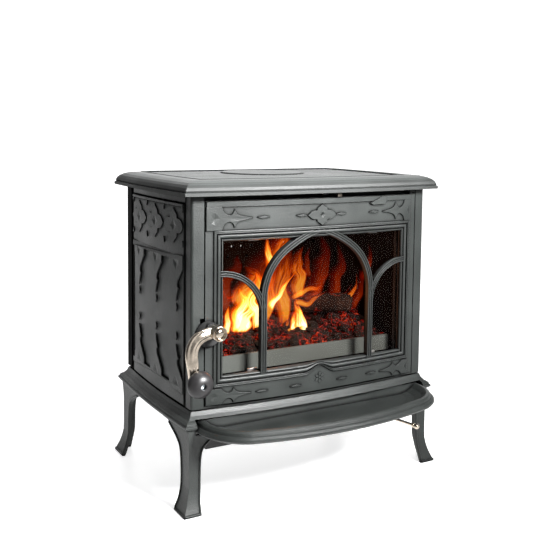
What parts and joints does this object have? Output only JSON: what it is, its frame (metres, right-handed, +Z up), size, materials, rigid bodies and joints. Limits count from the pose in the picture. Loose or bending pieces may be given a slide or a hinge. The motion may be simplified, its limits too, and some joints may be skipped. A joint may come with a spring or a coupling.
{
  "type": "wood burning stove",
  "caption": "Free-standing cast-iron wood stove: arched-window side-hinged door, cabriole legs, ash lip, rear flue collar and sliding air controls.",
  "frame": {"origin": "on the floor, in the middle of the whole stove's bounding box, ash lip and flue collar included", "axes": "+X to the right seen from the front, +Y to the back, +Z up"},
  "size_m": [0.6432, 0.5579, 0.6665],
  "materials": {
    "cast_iron_body": "matte black stove paint on sand-cast iron",
    "firebox_iron": "bare sooty cast iron",
    "black_sheet": "matte black heat-proof paint on steel sheet",
    "steel_fasteners": "zinc-plated steel",
    "nickel": "polished nickel plate",
    "knob_plastic": "satin heat-proof thermoset",
    "ceramic_glass": "clear glass-ceramic",
    "gasket_rope": "graphited woven glass-fibre rope",
    "embers": "glowing charcoal",
    "charred_wood": "charred bark and split wood"
  },
  "bodies": {
    "stove": {"base_plate": "cast_iron_body", "side_plate_right": "cast_iron_body", "side_plate_left": "cast_iron_body", "front_frame": "cast_iron_body", "top_plate": "cast_iron_body", "outlet_cover": "cast_iron_body", "ash_lip": "cast_iron_body", "flue_collar": "cast_iron_body", "leg_front_left": "cast_iron_body", "leg_front_right": "cast_iron_body", "leg_rear_left": "cast_iron_body", "leg_rear_right": "cast_iron_body", "back_plate": "cast_iron_body", "firebox_floor": "firebox_iron", "burn_plate_right": "firebox_iron", "burn_plate_left": "firebox_iron", "burn_plate_rear": "firebox_iron", "baffle_plate": "firebox_iron", "ember_guard": "firebox_iron", "rear_heat_shield": "black_sheet", "bottom_heat_shield": "black_sheet", "air_channel": "black_sheet", "start_air_duct": "black_sheet", "latch_keeper": "black_sheet", "outlet_cover_bolts": "steel_fasteners", "tie_rods": "steel_fasteners", "leg_bolts": "steel_fasteners", "ash_lip_bolts": "steel_fasteners", "flue_collar_bolts": "steel_fasteners", "rear_shield_spacers": "steel_fasteners", "rear_shield_screws": "steel_fasteners", "bottom_shield_screws": "steel_fasteners", "hinge_pin_upper": "steel_fasteners", "hinge_pin_lower": "steel_fasteners", "ember_bed": "embers", "log_front": "charred_wood", "log_rear": "charred_wood"},
    "door": {"door_frame": "cast_iron_body", "door_glass": "ceramic_glass", "glass_gasket": "gasket_rope", "glass_clips": "steel_fasteners", "glass_clip_screws": "steel_fasteners", "door_gasket": "gasket_rope", "door_boss": "black_sheet"},
    "door_handle": {"handle_arm": "nickel", "handle_knob": "knob_plastic", "knob_screw": "steel_fasteners", "latch_spindle": "steel_fasteners", "latch_pawl": "steel_fasteners", "pawl_nut": "steel_fasteners"},
    "air_control": {"air_lever": "nickel", "air_shutter": "steel_fasteners"},
    "start_air_control": {"start_air_rod": "nickel", "start_air_knob": "nickel", "start_air_valve": "steel_fasteners"}
  },
  "joints": [
    {"name": "door_hinge", "type": "hinge", "parent": "stove", "child": "door", "pos_m": [0.2545, -0.126, 0.42], "axis": [0, 0, 1], "range_deg": [0, 100]},
    {"name": "handle_turn", "type": "hinge", "parent": "door", "child": "door_handle", "pos_m": [-0.2545, -0.15, 0.371], "axis": [0, 1, 0], "range_deg": [0, 75]},
    {"name": "air_slide", "type": "slide", "parent": "stove", "child": "air_control", "axis": [1, 0, 0], "range_m": [-0.08, 0]},
    {"name": "start_air_slide", "type": "slide", "parent": "stove", "child": "start_air_control", "axis": [0.2113, -0.9774, 0], "range_m": [0, 0.03]}
  ]
}
